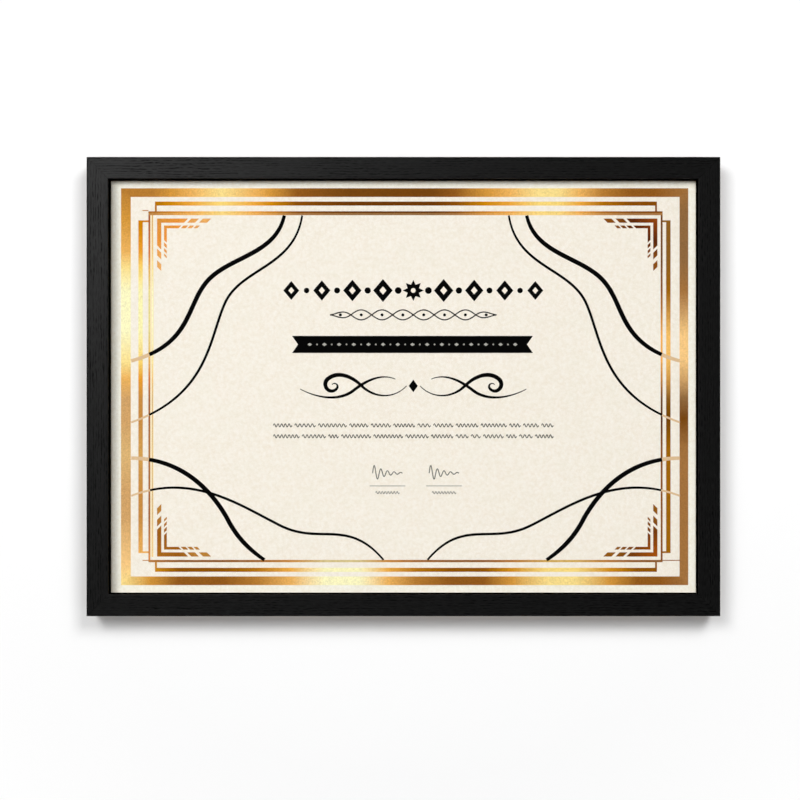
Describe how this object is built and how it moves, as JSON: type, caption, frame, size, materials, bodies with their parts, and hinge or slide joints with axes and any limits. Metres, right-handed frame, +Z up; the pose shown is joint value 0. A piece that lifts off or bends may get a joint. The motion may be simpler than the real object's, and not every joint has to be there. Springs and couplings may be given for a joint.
{
  "type": "certificate frame",
  "caption": "Wall-hung black wood-grain frame with glazing, a gold-bordered certificate sheet, backing board, turn buttons and sawtooth hangers.",
  "frame": {"origin": "where the wall nail bears in the middle notch of the landscape hanger, on the wall's plane", "axes": "+X to the viewer's right when facing the sheet, +Y into the wall, +Z up"},
  "size_m": [0.316, 0.02, 0.229],
  "materials": {
    "black_foiled_mdf": "satin black wood-grain foil on MDF; raw brown MDF at the back and in the rabbet",
    "clear_glass": "clear float glass",
    "cream_card": "matt mottled cream card",
    "gold_print": "gold-toned printing on the card, dark to bright along each side, with a low sheen",
    "black_print": "black printing on the card",
    "corrugated_card": "kraft corrugated card",
    "hardboard": "brown tempered hardboard",
    "zinc_plated_steel": "bright zinc plate",
    "brass_plated_steel": "brass plate",
    "grey_rubber": "matt"
  },
  "bodies": {
    "frame": {"top_rail": "black_foiled_mdf", "right_rail": "black_foiled_mdf", "bottom_rail": "black_foiled_mdf", "left_rail": "black_foiled_mdf", "corner_v_nails": "zinc_plated_steel", "glazing": "clear_glass", "certificate_sheet": "cream_card", "filler_board": "corrugated_card", "backing_board": "hardboard", "turn_button_screws": "zinc_plated_steel", "sawtooth_hanger_landscape": "brass_plated_steel", "sawtooth_hanger_portrait": "brass_plated_steel", "hanger_nails": "brass_plated_steel", "wall_bumper_top_left": "grey_rubber", "wall_bumper_top_right": "grey_rubber", "wall_bumper_bottom_left": "grey_rubber", "wall_bumper_bottom_right": "grey_rubber"},
    "turn_button_top_left": {"turn_button_top_left": "zinc_plated_steel"},
    "turn_button_top_right": {"turn_button_top_right": "zinc_plated_steel"},
    "turn_button_bottom_left": {"turn_button_bottom_left": "zinc_plated_steel"},
    "turn_button_bottom_right": {"turn_button_bottom_right": "zinc_plated_steel"},
    "turn_button_left_upper": {"turn_button_left_upper": "zinc_plated_steel"},
    "turn_button_left_lower": {"turn_button_left_lower": "zinc_plated_steel"},
    "turn_button_right_upper": {"turn_button_right_upper": "zinc_plated_steel"},
    "turn_button_right_lower": {"turn_button_right_lower": "zinc_plated_steel"}
  },
  "joints": [
    {"name": "turn_button_top_left_pivot", "type": "hinge", "parent": "frame", "child": "turn_button_top_left", "pos_m": [-0.079, -0.003, 0.0023], "axis": [0, 1, 0], "continuous": true},
    {"name": "turn_button_top_right_pivot", "type": "hinge", "parent": "frame", "child": "turn_button_top_right", "pos_m": [0.079, -0.003, 0.0023], "axis": [0, 1, 0], "continuous": true},
    {"name": "turn_button_bottom_left_pivot", "type": "hinge", "parent": "frame", "child": "turn_button_bottom_left", "pos_m": [-0.079, -0.003, -0.2187], "axis": [0, 1, 0], "continuous": true},
    {"name": "turn_button_bottom_right_pivot", "type": "hinge", "parent": "frame", "child": "turn_button_bottom_right", "pos_m": [0.079, -0.003, -0.2187], "axis": [0, 1, 0], "continuous": true},
    {"name": "turn_button_left_upper_pivot", "type": "hinge", "parent": "frame", "child": "turn_button_left_upper", "pos_m": [-0.154, -0.003, -0.05095], "axis": [0, 1, 0], "continuous": true},
    {"name": "turn_button_left_lower_pivot", "type": "hinge", "parent": "frame", "child": "turn_button_left_lower", "pos_m": [-0.154, -0.003, -0.16545], "axis": [0, 1, 0], "continuous": true},
    {"name": "turn_button_right_upper_pivot", "type": "hinge", "parent": "frame", "child": "turn_button_right_upper", "pos_m": [0.154, -0.003, -0.05095], "axis": [0, 1, 0], "continuous": true},
    {"name": "turn_button_right_lower_pivot", "type": "hinge", "parent": "frame", "child": "turn_button_right_lower", "pos_m": [0.154, -0.003, -0.16545], "axis": [0, 1, 0], "continuous": true}
  ]
}
